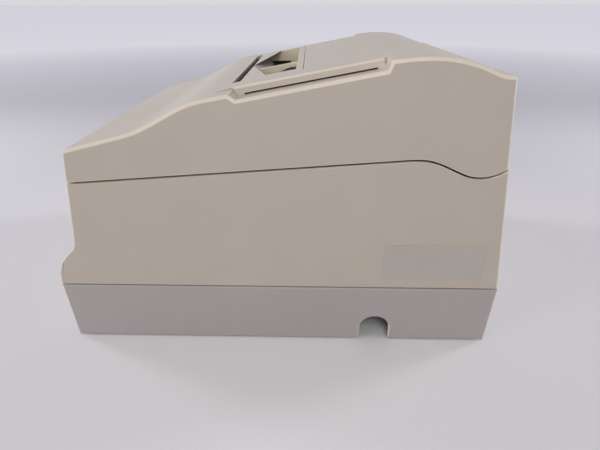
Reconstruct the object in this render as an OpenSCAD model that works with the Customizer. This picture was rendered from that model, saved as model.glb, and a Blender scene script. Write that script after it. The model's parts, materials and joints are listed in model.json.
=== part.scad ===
// Desktop impact receipt printer: case, hinged top cover, and the printing mechanism.
// X runs from the front lip to the rear, Y across the width, Z up from the table. Millimetres.

/* [Case] */
// Width of the case at its base
case_w = 189; // [186:1:230]
// Depth of the case at its base, from the front lip to the rear wall
case_d = 254; // [250:1:306]
// Height of the bottom case's top rim above the table
base_h = 39.6; // [38:0.2:41]
// Gap between the table and the bottom rim
rim_lift = 0.8; // [0.5:0.1:2]
// Thickness of the moulded walls
wall = 2.5; // [2:0.1:3]
// Gap of the seam above the bottom case
base_gap = 0.8; // [0.4:0.1:1.2]
// Inward lean of the side walls, in degrees
side_lean = 4.06; // [2:0.1:5]
// Backward lean of the front wall, in degrees
front_lean = 7; // [4:0.5:8]
// Forward lean of the rear wall, in degrees
rear_lean = 7.2; // [4:0.2:8]
// Distance that the front lip stands out from the front wall at its foot
lip_out = 10.3; // [8:0.1:12]
// Radius of the front lip
lip_r = 24.5; // [22:0.1:28]

/* [Top cover] */
// Height of the hood's front edge
hood_front_h = 119.6; // [116:0.2:122]
// Height of the cover seam at the front wall
seam_front_h = 102.1; // [98:0.2:106]
// Height of the cover seam at its crest, in front of the hinge
seam_crest_h = 115.2; // [113:0.2:117]
// Gap of the seam below the cover
seam_gap = 1; // [0.6:0.1:1.4]
// Distance of the cover's hinge axis from the rear wall
hinge_inset = 11.5; // [11:0.1:13]
// Height of the cover's hinge axis
hinge_h = 128.5; // [127:0.5:130]
// Radius of the round trough below the hinge
trough_r = 22; // [21:0.5:23]
// Radius of the cover's hinge pins
hinge_pin_r = 2.5; // [2:0.1:3]
// Radius of the dome's rear slope
dome_r = 71; // [66:1:76]

/* [Raised block] */
// Width of the raised block's top
block_w = 146; // [140:1:150]
// Place of the block's rear edge
block_rear_x = 53; // [50:1:56]
// Height of the block's top at its rear edge
block_rear_h = 161.2; // [160:0.2:163]
// Length of the block along the depth
block_d = 73; // [70:1:76]
// Slope of the block's top, in degrees
block_slope = 10.5; // [9:0.5:11.5]
// Height of the block's top over the cover's side ledges
block_rise = 3.9; // [3.5:0.1:4.5]
// Thickness of the block's top
block_t = 2.2; // [1.8:0.1:2.4]
// Distance that each side of the block leans out, from its top to its foot
block_flare = 4.3; // [3:0.1:5]
// Height of the slit at the block's foot
slit_h = 0.8; // [0.5:0.1:1.2]
// Width of the slot for single forms, in front of the block
slot_d = 5; // [4:0.1:5.5]

/* [Paper] */
// Width of the paper
paper_w = 76; // [58:1:80]
// Radius of a full paper roll
roll_r = 41.5; // [35:0.5:42]
// Offset of the paper's centre line from the middle of the case
paper_y = 25; // [22:1:26]

/* [Mechanism] */
// Radius of the carriage's main guide shaft
main_shaft_r = 4; // [3:0.1:5]
// Radius of the carriage's front guide shaft
front_shaft_r = 3; // [2.5:0.1:3.6]
// Running clearance of shafts in their bores
run_gap = 0.05; // [0.03:0.01:0.08]
// Radius of the rubber feed roller
feed_r = 7; // [6:0.1:7.4]
// Radius of the feed roller's shaft
feed_shaft_r = 3; // [2:0.1:3.5]
// Radius of the pinch rollers
pinch_r = 4; // [3:0.1:4.4]
// Module of the feed gears
gear_m = 0.8; // [0.7:0.05:0.9]
// Thickness of the mechanism's steel sheets
sheet_t = 2; // [1.6:0.1:2.4]

/* [Hidden] */
$fn = 48;

beige = [0.74, 0.71, 0.66];
dark = [0.16, 0.16, 0.17];
steel = [0.68, 0.69, 0.7];
far = 400;

// Outer planes of the case
front_foot_x = -case_d / 2 + lip_out;
rear_foot_x = case_d / 2 - 0.3;
function front_x(z) = front_foot_x + (z - base_h) * tan(front_lean);
function rear_x(z) = rear_foot_x - (z - base_h) * tan(rear_lean);
function half_w(z) = case_w / 2 - (z - base_h) * tan(side_lean);

// Curves in the XZ plane
function arc(c, r, a0, a1, n) = [for (i = [0:n]) let (a = a0 + (a1 - a0) * i / n) c + r * [cos(a), sin(a)]];
// A smooth cubic from a to b with the slopes ma and mb
function blend(a, ma, b, mb, n) = [for (i = [0:n]) let (t = i / n, w = b[0] - a[0])
  [a[0] + w * t, a[1] * (2 * t ^ 3 - 3 * t ^ 2 + 1) + w * ma * (t ^ 3 - 2 * t ^ 2 + t)
    + b[1] * (3 * t ^ 2 - 2 * t ^ 3) + w * mb * (t ^ 3 - t ^ 2)]];
function reversed(p) = [for (i = [len(p) - 1:-1:0]) p[i]];

// Front lip: a bulge with a sloped top that runs into the leaning front wall
lip_c = [-case_d / 2 + lip_r, base_h + 1.4];
lip_a = 132;
function lip(inset) = let (
    top = lip_c + (lip_r - inset) * [cos(lip_a), sin(lip_a)],
    along = [sin(lip_a), -cos(lip_a)],
    lean = [tan(front_lean), 1] * cos(front_lean),
    gap = front_x(top[1]) + inset / cos(front_lean) - top[0],
    meet = top + along * gap / (along[0] - along[1] * tan(front_lean)),
    before = meet - along * 2.4,
    after = meet + lean * 3)
  concat(arc(lip_c, lip_r - inset, 180, lip_a, 7),
    [for (i = [0:4]) let (k = i / 4) before * (1 - k) ^ 2 + meet * 2 * k * (1 - k) + after * k ^ 2]);

// Raised block, ledges, hood and dome
block_front_x = block_rear_x - block_d;
slope = tan(block_slope);
function block_z(x) = block_rear_h - (block_rear_x - x) * slope;
function ledge_z(x) = block_z(x) - block_rise;
hood_drop = 0.8;
slot_x = block_front_x - slot_d;
bend = [block_front_x - 54, hood_front_h + 8];
hood_top_x = block_front_x - 15;
hood_end_x = block_front_x - 1.3;
pocket_x = block_front_x + 2.3;
front_top = [front_x(hood_front_h), hood_front_h];
seam_x = block_rear_x + 0.4;
dome_x = block_rear_x + 20.5;
dome_front_r = (dome_x - seam_x) / sin(block_slope);
dome_h = block_z(seam_x) + dome_front_r * (1 - cos(block_slope));
dome_end_a = 66.3;
dome_end = [dome_x + dome_r * cos(dome_end_a), dome_h - dome_r * (1 - sin(dome_end_a))];
rear_top_h = 155;
rear_top = [rear_x(rear_top_h), rear_top_h];
function dome_z(x) = dome_h - dome_front_r + sqrt(dome_front_r ^ 2 - (x - dome_x) ^ 2);

function hood_line() = concat(
  [front_top],
  blend(bend, (bend[1] - front_top[1]) / (bend[0] - front_top[0]),
    [hood_top_x, block_z(hood_top_x) - hood_drop], slope, 8),
  [[hood_end_x, block_z(hood_end_x) - hood_drop], [pocket_x, ledge_z(pocket_x)]]);
function dome_line() = concat(
  [[block_rear_x, ledge_z(block_rear_x)]],
  [for (x = [block_rear_x + 1.8, block_rear_x + 7, block_rear_x + 13]) [x, dome_z(x)]],
  arc([dome_x, dome_h - dome_r], dome_r, 90, dome_end_a, 6),
  [for (p = blend(dome_end, -1 / tan(dome_end_a), [rear_top[0] - 4, rear_top_h + 0.3], -0.08, 3))
    if (p[0] > dome_end[0] + 0.1) p],
  [rear_top]);

// Cover seam: a straight rise, a crest, and a trough round the hinge axis
hinge = [rear_x(hinge_h) - hinge_inset, hinge_h];
crest_x = hinge[0] - 38;
trough_a0 = -112;
trough_a1 = rear_lean - acos(hinge_inset * cos(rear_lean) / trough_r);
// off is the distance above the seam's middle, and inset cuts the ends at the inner walls
function seam(off) = let (
    r = trough_r - off,
    foot = hinge + r * [cos(trough_a0), sin(trough_a0)],
    rise = (seam_crest_h - seam_front_h) / (crest_x - front_x(seam_front_h)),
    turn = [crest_x + 10, seam_crest_h + 0.1 + off])
  concat(
    [[front_x(seam_front_h + off), seam_front_h + off]],
    blend([crest_x, seam_crest_h + off], rise, turn, -0.08, 4),
    [for (p = blend(turn, -0.08, foot, -cos(trough_a0) / sin(trough_a0), 6)) if (p[0] > turn[0] + 0.1) p],
    [for (p = arc(hinge, r, trough_a0, trough_a1, 10)) if (p[0] > foot[0] + 0.1) p]);

// Heights inside the bottom case
floor_z = 4;
floor_t = 3;
deck_z = 26;
step_x = 15;
notch_x = 58.5;
notch_w = 17.8;
notch_h = 18.2;
tray_z = 41;
mech_z = tray_z + sheet_t;

// Screw pillars and feet, near the four corners
pillar_x = [-case_d / 2 + 15, case_d / 2 - 15];
pillar_r = 5.5;
pillar_y = case_w / 2 - wall - pillar_r - 0.5;
pillar_top = base_h + 4.4;
screw_r = 1.5;
screw_head_r = 2.9;
screw_head_z = 32;
boss_top = pillar_top + 18;
foot_x = [-case_d / 2 + 27, case_d / 2 - 27];
foot_y = case_w / 2 - 20.5;
foot_r = 7;
foot_peg_r = 2.2;

// Mechanism places: XZ points of the shafts
plate_near = -62;
plate_far = 76;
main_shaft = [-44, 70];
front_shaft = [-64, 62];
form_x = -22.2;
feed = [form_x + feed_r + 0.2, 78];
pinch = [form_x - pinch_r - 0.1, 78];
gear_teeth = 39;
pinion_teeth = 18;
pinion_a = -56.2;
gear_reach = gear_m * (gear_teeth + pinion_teeth) / 2;
pinion = feed + gear_reach * [cos(pinion_a), sin(pinion_a)];
print_z = 101.5;
platen_x = form_x + 0.4;
platen_t = 4.5;
home_y = -39;
carriage_w = 26;
belt_x = -88;
belt_r = 6;
post_x = belt_x - 10.5;
belt_t = 1.5;
belt_z = 69.5;
belt_h = 6;
pulley_y = [-52, 68];
pulley_flange_r = 7.5;
motor_shaft_r = 1.5;
cassette_z = 94;
ribbon_x = form_x - 3.3;
ribbon_t = 0.4;

// Roll hopper
hopper_t = 2;
hopper_ri = roll_r + 1.5;
hopper = [hinge[0] - 54, 97];
hopper_y = [paper_y - paper_w / 2 - 2, paper_y + paper_w / 2 + 2];

// Front panel, in the plane of the front wall
panel_y = -54;
panel_z = 82;
panel_w = 50;
panel_h = 20;
panel_t = 1.2;
button_y = panel_y - 12;
light_y = [panel_y + 4, panel_y + 11, panel_y + 18];
light_r = 1.6;
button = [14, 9];
rocker_y = 52;
rocker_size = [10, 15];
board_back = -9.6;

// Paper exit, held in the block
rim_w = 3;
exit_y = [-51, 68];
bezel_y = [-57, 69.4];
ramp_end = [block_front_x + 8.5, 141];
wall_foot = 143;
exit_rear_x = block_front_x + 30;
bezel_rear_x = block_front_x + 34;
rib_y = -20;

// ---- Building helpers ----
module box(lo, hi) {
  translate(lo) cube(hi - lo);
}
// A prism on an XZ outline, from y0 to y1
module prism_y(points, y0, y1) {
  translate([0, y1, 0]) rotate([90, 0, 0]) linear_extrude(y1 - y0) polygon(points);
}
module rod_y(p, r, y0, y1) {
  translate([p[0], y1, p[1]]) rotate([90, 0, 0]) cylinder(r = r, h = y1 - y0);
}
module rod_z(x, y, r, z0, z1) {
  translate([x, y, z0]) cylinder(r = r, h = z1 - z0);
}
module disc(r, h) {
  cylinder(r = r, h = h);
}
// The parts drawn on the far side, and the same on the near side
module on_sides() {
  children();
  mirror([0, 1, 0]) children();
}
// The space between the leaning side walls, drawn in by inset
module between_sides(inset, z0, z1) {
  rotate([90, 0, 90]) linear_extrude(far, center = true) polygon([
    [-half_w(z0) + inset, z0], [half_w(z0) - inset, z0], [half_w(z1) - inset, z1], [-half_w(z1) + inset,
      z1]]);
}
// Local frame of the front wall: x towards -Y, y up the wall, z outwards
module at_front(y, z) {
  translate([front_x(z), y, z]) rotate([0, front_lean, 0]) rotate([90, 0, -90]) children();
}
module plate_xy(size, r, t) {
  linear_extrude(t) union() {
    square([size[0] - 2 * r, size[1]], center = true);
    square([size[0], size[1] - 2 * r], center = true);
    for (sx = [-1, 1], sy = [-1, 1]) translate([sx * (size[0] / 2 - r), sy * (size[1] / 2 - r)])
      circle(r, $fn = 24);
  }
}
// Involute gear outline of module m and n teeth, with a little backlash
function inv(a) = tan(a) * 180 / PI - a;
function gear_outline(m, n) = let (
    rp = m * n / 2, rb = rp * cos(20), ra = rp + 0.95 * m, rf = rp - 1.2 * m, half = 90 / n - 0.35,
    flank = [for (r = [max(rb, rf + 0.05), (rp + rb) / 2, rp, (rp + ra) / 2, ra])
      let (a = r <= rb ? 0 : acos(rb / r)) [r, half + inv(20) - inv(a)]])
  [for (k = [0:n - 1]) each concat(
    [rf * [cos((k * 360 / n) - flank[0][1]), sin((k * 360 / n) - flank[0][1])]],
    [for (f = flank) f[0] * [cos(k * 360 / n - f[1]), sin(k * 360 / n - f[1])]],
    [for (i = [len(flank) - 1:-1:0]) flank[i][0] * [cos(k * 360 / n + flank[i][1]),
      sin(k * 360 / n + flank[i][1])]],
    [rf * [cos((k * 360 / n) + flank[0][1]), sin((k * 360 / n) + flank[0][1])]])];
// A gear on a Y axis, turned so that a tooth or a gap points along angle a in the XZ plane
module gear_y(p, n, a, y0, y1, bore) {
  translate([p[0], y1, p[1]]) rotate([90, 0, 0]) difference() {
    linear_extrude(y1 - y0) rotate(a) polygon(gear_outline(gear_m, n));
    translate([0, 0, -1]) disc(bore, y1 - y0 + 2);
  }
}

// ---- Case ----
module bottom_case() {
  color(beige) difference() {
    union() {
      difference() {
        box([-case_d / 2, -case_w / 2, rim_lift], [case_d / 2, case_w / 2, base_h]);
        box([-case_d / 2 + wall, -case_w / 2 + wall, floor_z + floor_t], [step_x - wall,
          case_w / 2 - wall, far]);
        box([step_x - wall - 1, -case_w / 2 + wall, deck_z + floor_t], [case_d / 2 - wall,
          case_w / 2 - wall, far]);
        box([-case_d / 2 + wall, -case_w / 2 + wall, -1], [step_x - wall, case_w / 2 - wall, floor_z]);
        box([step_x, -case_w / 2 + wall, -1], [case_d / 2 - wall, case_w / 2 - wall, deck_z]);
      }
      for (x = pillar_x, s = [-1, 1]) {
        rod_z(x, s * pillar_y, pillar_r, floor_z, pillar_top);
      }
      on_sides() for (x = pillar_x) box([x - 1, pillar_y, floor_z], [x + 1, case_w / 2 - 1, base_h - 4]);
      for (s = [-1, 1]) rod_z(foot_x[1], s * foot_y, foot_r + 2, floor_z, deck_z + 1);
      for (p = tray_bosses()) rod_z(p[0], p[1], 4.5, floor_z + 1, tray_z);
      for (p = board_posts()) rod_z(p[0], p[1], 3, floor_z + 1, board_z);
      for (x = [hopper[0] - 25, hopper[0] + 25]) box([x - 4, hopper_y[0] + 6, deck_z + 1], [x + 4,
        hopper_y[1] - 6, deck_z + floor_t + 2]);
    }
    for (x = pillar_x, s = [-1, 1]) {
      rod_z(x, s * pillar_y, screw_head_r + 0.4, -1, screw_head_z);
      rod_z(x, s * pillar_y, screw_r + 0.2, -1, far);
    }
    for (x = foot_x, s = [-1, 1]) rod_z(x, s * foot_y, foot_peg_r, floor_z - 1, floor_z + 3);
    for (p = tray_bosses()) rod_z(p[0], p[1], screw_r, tray_z - 10, tray_z + 1);
    // Cable notch in the near wall
    translate([notch_x, -case_w / 2 + wall + 1, 0]) rotate([90, 0, 0]) linear_extrude(far / 10) union() {
      translate([-notch_w / 2, -1]) square([notch_w, notch_h - notch_w / 2 + 1]);
      translate([0, notch_h - notch_w / 2]) circle(notch_w / 2);
    }
    // Space for the socket panel
    box([step_x - wall - 1, -panel_half, floor_z + floor_t], [step_x + 1, panel_half, deck_z]);
  }
}
panel_half = case_w / 2 - 5;
// Plate between the floor and the deck, with windows for the sockets
module socket_panel() {
  color([0.3, 0.3, 0.31]) difference() {
    box([step_x - 2, -panel_half + 0.1, floor_z + floor_t], [step_x, panel_half - 0.1, deck_z - 0.1]);
    for (s = sockets())
      box([step_x - 3, s[0] - s[1] / 2 - 0.3, board_z + 1.3],
        [step_x + 1, s[0] + s[1] / 2 + 0.3, board_z + 1.9 + s[2]]);
  }
}
board_z = 12;
board_t = 1.6;
// Sockets: middle, width and height
function sockets() = [[-30, 15, 12], [10, 52, 11.4], [54, 14, 11.8]];
function tray_bosses() = [[-90, -69], [-90, 34], [3, -69], [3, 84]];
function board_posts() = [[-78, -42], [-78, 64], [2, -46], [2, 66]];

module lower_case() {
  color(beige) difference() {
    union() {
      difference() {
        intersection() {
          prism_y(concat([[-case_d / 2, base_h + base_gap]], lip(0), seam(-seam_gap / 2),
            [[rear_x(base_h + base_gap), base_h + base_gap]]), -far, far);
          between_sides(0, base_h, far / 2);
        }
        intersection() {
          prism_y(concat([[-case_d / 2 + wall, 0]], lip(wall), [[front_x(far / 2) + wall, far / 2],
            [rear_x(far / 2) - wall, far / 2], [rear_x(0) - wall, 0]]), -far, far);
          between_sides(wall, 0, far / 2);
        }
      }
      // Tongue that overlaps the bottom case's rim from inside
      tongue();
      // Inner lip behind the cover seam, ahead of the hinge
      intersection() {
        difference() {
          seam_lip(2.6, 0.6 + wall + 1.4);
          between_sides(0.6 + wall + 1.4, 0, far / 2);
        }
        between_sides(wall + 0.6, 0, far / 2);
      }
      seam_lip_joint();
      on_sides() {
        for (x = pillar_x) {
          rod_z(x, pillar_y, pillar_r, pillar_top, boss_top);
          box([x - 3, pillar_y, pillar_top], [x + 3, half_w(boss_top) - 1, boss_top]);
        }
        hinge_arm();
      }
      for (x = [-24.5, 24.5]) at_front(panel_y, panel_z) translate([x, 0, board_back + 1.6]) disc(2,
        -board_back - 1.6);
    }
    for (x = pillar_x, s = [-1, 1]) rod_z(x, s * pillar_y, screw_r, pillar_top - 1, boss_top - 3);
    on_sides() rod_y(hinge, hinge_pin_r, arm_y[0] - 1, arm_y[1] + 1);
    at_front(button_y, panel_z) translate([0, 0, -wall - 1]) plate_xy(button + [0.8, 0.8], 2, wall + 2);
    for (y = light_y) at_front(y, panel_z) translate([0, 0, -wall - 1]) disc(light_r + 0.3, wall + 2);
    at_front(rocker_y, panel_z) translate([0, 0, -wall - 1]) plate_xy(rocker_size + [5, 5], 1, wall + 2);
  }
}
module tongue() {
  z0 = base_h - 2.4;
  z1 = base_h + base_gap;
  in0 = wall + 0.3;
  in1 = in0 + 1.5;
  difference() {
    union() {
      box([-case_d / 2 + in0, -case_w / 2 + in0, z0], [case_d / 2 - in0, case_w / 2 - in0, z1]);
      box([-case_d / 2 + 1.2, -case_w / 2 + 1.2, z1], [case_d / 2 - 1.2, case_w / 2 - 1.2, z1 + 2.5]);
    }
    box([-case_d / 2 + in1, -case_w / 2 + in1, z0 - 1], [case_d / 2 - in1, case_w / 2 - in1, z1 + 4]);
    for (x = pillar_x, s = [-1, 1]) rod_z(x, s * pillar_y, pillar_r + 0.4, z0 - 1, pillar_top);
  }
}
// A low wall that follows the seam, rise above it, from the front wall to the crest
module seam_lip(rise, depth) {
  x1 = crest_x - 6;
  run = (x1 - front_x(seam_front_h)) / (crest_x - front_x(seam_front_h));
  z_at = seam_front_h + (seam_crest_h - seam_front_h) * run;
  x0 = front_x(seam_front_h) + wall + 0.6;
  difference() {
    prism_y([[x0, seam_front_h - 6], [x0 + 0.4, seam_front_h + rise], [x1, z_at + rise], [x1, z_at - 6]],
      -far, far);
    translate([depth - wall - 0.6, 0, 0]) prism_y([[x0, 0], [x0, far], [far, far], [far, 0]],
      -half_w(seam_front_h) + depth, half_w(seam_front_h) - depth);
  }
}
// The thick stretch that joins that low wall to the side and front walls below the seam
module seam_lip_joint() {
  z0 = seam_front_h - 6;
  intersection() {
    difference() {
      prism_y([[front_x(z0) + 1, z0], [front_x(z0) + 1.4, z0 + 3.5], [crest_x - 6, seam_crest_h - 4],
        [crest_x - 6, seam_crest_h - 8]], -far, far);
      intersection() {
        between_sides(0.6 + wall + 1.4, 0, far / 2);
        prism_y([[front_x(0) + wall + 2, 0], [front_x(far / 2) + wall + 2, far / 2], [far, far / 2],
          [far, 0]], -far, far);
      }
    }
    between_sides(1, 0, far / 2);
  }
}
arm_y = [79, 82.5];
// Arm on the inner side wall that carries the cover's hinge pin
module hinge_arm() {
  top = hinge + 5.5 * [cos(130), sin(130)];
  low = hinge + 5.5 * [cos(-50), sin(-50)];
  prism_y([[crest_x - 2, 84], [crest_x - 2, 108], top, low, [crest_x + 16, 98], [crest_x + 14, 84]],
    arm_y[0], arm_y[1]);
  rod_y(hinge, 5.5, arm_y[0], arm_y[1]);
  box([crest_x - 2, arm_y[0], 84], [crest_x + 1, half_w(104) - 1, 104]);
  box([crest_x + 11, arm_y[0], 84], [crest_x + 14, half_w(97) - 1, 97]);
}

// ---- Cover ----
function cover_outline(low) = concat(hood_line(), dome_line(), low);
module top_cover() {
  shell_low = reversed(seam(seam_gap / 2));
  color(beige) difference() {
    union() {
      difference() {
        intersection() {
          prism_y(cover_outline(shell_low), -far, far);
          between_sides(0, base_h, far / 2);
        }
        intersection() {
          translate([0, far, 0]) rotate([90, 0, 0]) linear_extrude(2 * far) offset(delta = -wall)
            polygon(cover_outline([[rear_x(60), 60], [front_x(60), 60]]));
          between_sides(wall, 0, far / 2);
        }
      }
      on_sides() cover_lug();
    }
    // Opening below the block
    box([block_front_x - 1, -block_w / 2 + rim_w, 130], [block_rear_x - 4.5, block_w / 2 - rim_w, far]);
    on_sides() rod_y(hinge, hinge_pin_r + run_gap, arm_y[0] - 6, arm_y[1]);
    slot();
  }
  color(beige) difference() {
    union() {
      // Top of the block, which runs into the dome
      prism_y([[block_front_x, block_z(block_front_x)], [seam_x, block_z(seam_x)],
        [block_rear_x + 1.8, dome_z(block_rear_x + 1.8)], [block_rear_x + 7, dome_z(block_rear_x + 7)],
        [block_rear_x + 7, block_z(block_rear_x) - 3], [seam_x, block_z(seam_x) - block_t],
        [block_front_x, block_z(block_front_x) - block_t]], -block_w / 2, block_w / 2);
      on_sides() block_side();
      // The hood runs up to the block beside the slot
      prism_y([[block_front_x - 11, block_z(block_front_x - 11) - hood_drop], [block_front_x, block_z(block_front_x)],
        [block_front_x, block_z(block_front_x) - 2.5], [block_front_x - 11, block_z(block_front_x - 11) - 2.5]],
        -block_w / 2, slot_y[0]);
    }
    slot();
    box([block_front_x - 1, bezel_y[0] - 0.15, 130], [bezel_rear_x + 0.3, bezel_y[1] + 0.15, far]);
    // Slits at the foot of the block's sides
    prism_y([for (p = slab(pocket_x + 3.2, block_rear_x - 3, slit_h)) p + [0, slit_h - block_rise]], -far, far);
  }
  // Tabs that hold the bezel from below
  color(beige) for (y = [-40, 0, 50])
    prism_y([for (p = slab(bezel_rear_x - 2, bezel_rear_x + 4, 1.5)) p - [0, block_t]], y - 4, y + 4);
}
function slab(x0, x1, t) = [[x0, block_z(x0)], [x1, block_z(x1)], [x1, block_z(x1) - t], [x0, block_z(x0) - t]];
slot_y = [-56, block_w / 2 + 0.4];
module slot() {
  box([slot_x, slot_y[0], 130], [block_front_x, slot_y[1], far]);
}
// Side of the block, leaning out towards its foot
module block_side() {
  c = cos(block_slope);
  translate([block_rear_x, 0, block_rear_h]) rotate([0, -block_slope, 0]) translate([-block_d / c, 0, 0])
    rotate([90, 0, 90]) linear_extrude(block_d / c) polygon([[block_w / 2 - 2.4, 0], [block_w / 2, 0],
      [block_w / 2 + block_flare, -block_rise * c], [block_w / 2 + block_flare - 2.4, -block_rise * c]]);
}
// Plate under the roof that turns on the hinge pin
module cover_lug() {
  y0 = arm_y[0] - 4;
  y1 = arm_y[0] - 0.5;
  prism_y([[hinge[0] - 6, hinge[1]], [hinge[0] - 9, dome_end[1] - 1], [hinge[0] - 2, dome_end[1] - 2.2],
    [hinge[0] + 3, rear_top_h - 1], [hinge[0] + 6, hinge[1]]], y0, y1);
  rod_y(hinge, 6, y0, y1);
}
// ---- Paper exit ----
module exit_bezel() {
  t = 1.6;
  low = ramp_end[1] - 3;
  x0 = block_front_x + 0.3;
  color(beige) {
    difference() {
      union() {
        // Frame in the plane of the block's top
        prism_y(slab(x0, bezel_rear_x, block_t), bezel_y[0], bezel_y[1]);
        // Walls of the recess
        for (y = [exit_y[0] - t, exit_y[1]])
          prism_y([[x0, block_z(x0)], [exit_rear_x + t, block_z(exit_rear_x + t)], [exit_rear_x + t, low],
            [exit_rear_x - 7.6, low], [exit_rear_x - 7.6, wall_foot], [ramp_end[0] - 2, wall_foot],
            [x0, block_z(x0) - block_t]], y, min(y + t, bezel_y[1]));
        prism_y([[exit_rear_x, block_z(exit_rear_x)], [exit_rear_x + t, block_z(exit_rear_x + t)],
          [exit_rear_x + t, low], [exit_rear_x, low]], exit_y[0] - t, bezel_y[1]);
      }
      // The recess, over the ramp
      prism_y([[x0 + 0.6, block_z(x0 + 0.6) - 0.01], [x0 + 0.6, far], [exit_rear_x, far], [exit_rear_x,
        low - 1], [ramp_end[0], low - 1], ramp_end], exit_y[0], exit_y[1]);
    }
    // Ramp
    prism_y([[x0, block_z(x0)], [x0 + 0.6, block_z(x0 + 0.6)], ramp_end, [ramp_end[0], low],
      [ramp_end[0] - 1.5, low], [x0, block_z(x0) - block_t - 0.4]], exit_y[0] - t, bezel_y[1]);
    // Rib between the two paper lanes
    prism_y([[block_front_x + 6, block_z(block_front_x + 6)], [exit_rear_x + 0.5, block_z(exit_rear_x)],
      [exit_rear_x + 0.5, block_z(exit_rear_x) - 1.9], [block_front_x + 23, block_z(block_front_x + 23) - 2.9],
      [ramp_end[0] + 3, ramp_end[1] + 2], [ramp_end[0] - 1, ramp_end[1] - 0.6]], rib_y, rib_y + 1.2);
  }
}
// Toothed steel strip on the rear wall of the exit
module tear_bar() {
  x = exit_rear_x;
  y0 = rib_y + 4;
  y1 = exit_y[1] - 2;
  z1 = block_z(x) - 2.6;
  n = 42;
  step = (y1 - y0) / n;
  color(steel) translate([x, 0, 0]) rotate([90, 0, -90]) linear_extrude(0.6)
    polygon(concat([[-y1, z1 - 6], [-y0, z1 - 6]], [for (i = [0:n - 1]) each [[-y0 - i * step, z1 - 0.9],
      [-y0 - (i + 0.5) * step, z1]]], [[-y1, z1 - 0.9]]));
}

// ---- Front panel ----
module control_panel() {
  color([0.62, 0.6, 0.57]) difference() {
    at_front(panel_y, panel_z) plate_xy([panel_w, panel_h], 3, panel_t);
    at_front(button_y, panel_z) translate([0, 0, -1]) plate_xy(button + [0.6, 0.6], 2, 4);
    for (y = light_y) at_front(y, panel_z) translate([0, 0, -1]) disc(light_r, 4);
  }
}
module status_lights() {
  color([0.3, 0.6, 0.3]) for (y = light_y) at_front(y, panel_z) translate([0, 0, board_back + 1.6])
    disc(light_r, panel_t + 0.6 - board_back - 1.6);
}
module panel_board() {
  color([0.1, 0.35, 0.2]) {
    at_front(panel_y, panel_z) translate([0, 0, board_back]) plate_xy([panel_w + 4, panel_h - 2], 1, 1.6);
    at_front(button_y, panel_z) translate([0, 0, board_back + 1.6]) plate_xy([6, 6], 0.5, 1.2);
  }
}
module feed_button() {
  color([0.45, 0.45, 0.46]) at_front(button_y, panel_z) {
    translate([0, 0, -wall - 0.3]) plate_xy(button, 2, wall + panel_t + 2);
    translate([0, 0, -wall - 2]) plate_xy(button + [3, 3], 2, 1.7);
    translate([0, 0, -wall - 3]) disc(1.5, 2);
  }
}
module power_switch() {
  color(dark) at_front(rocker_y, panel_z) difference() {
    union() {
      plate_xy(rocker_size + [8, 8], 1.5, 1.4);
      translate([0, 0, -12.5]) plate_xy(rocker_size + [4.6, 4.6], 1, 13);
      for (x = [-3, 3]) translate([x - 0.4, -3, -16]) cube([0.8, 6, 4]);
    }
    translate([0, 0, -11.3]) plate_xy(rocker_size + [0.8, 1.2], 0.5, 20);
  }
  color(steel) at_front(rocker_y, panel_z) translate([-rocker_size[0] / 2 - 1.5, 0, -5]) rotate([0, 90,
    0]) disc(1, rocker_size[0] + 3);
}
module power_rocker() {
  half = rocker_size[1] / 2 - 0.5;
  color([0.05, 0.05, 0.05]) at_front(rocker_y, panel_z) translate([-rocker_size[0] / 2, 0, -5])
    rotate([6, 0, 0]) difference() {
    rotate([90, 0, 90]) linear_extrude(rocker_size[0])
      polygon([[-half, 0], [-half, 7.4], [-half + 1, 8], [0, 6.4], [half - 1, 8], [half, 7.4], [half, 0],
        [3, -5], [-3, -5]]);
    translate([-1, 0, 0]) rotate([0, 90, 0]) disc(1 + run_gap, rocker_size[0] + 2);
  }
}
module rating_plate() {
  size = [56.2, 21.8];
  z0 = base_h + 6.6;
  color([0.66, 0.65, 0.63]) translate([case_d / 2 - 67.3, -half_w(z0), z0]) rotate([90 - side_lean, 0, 0])
    translate([size[0] / 2, size[1] / 2, 0]) plate_xy(size, 0.8, 0.2);
}
module rubber_feet() {
  color(dark) for (x = foot_x, s = [-1, 1]) {
    rod_z(x, s * foot_y, foot_r, 0, floor_z);
    rod_z(x, s * foot_y, foot_peg_r, floor_z, floor_z + 2.5);
  }
}
module case_screws() {
  color(steel) for (x = pillar_x, s = [-1, 1]) difference() {
    union() {
      rod_z(x, s * pillar_y, screw_r, screw_head_z, boss_top - 4);
      rod_z(x, s * pillar_y, screw_head_r, screw_head_z - 2.2, screw_head_z);
    }
    box([x - 2, s * pillar_y - 0.35, screw_head_z - 3], [x + 2, s * pillar_y + 0.35, screw_head_z - 1.2]);
    box([x - 0.35, s * pillar_y - 2, screw_head_z - 3], [x + 0.35, s * pillar_y + 2, screw_head_z - 1.2]);
  }
}
module cover_hinge_pins() {
  color(steel) on_sides() rod_y(hinge, hinge_pin_r, arm_y[0] - 5, arm_y[1] + 0.5);
}
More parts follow.
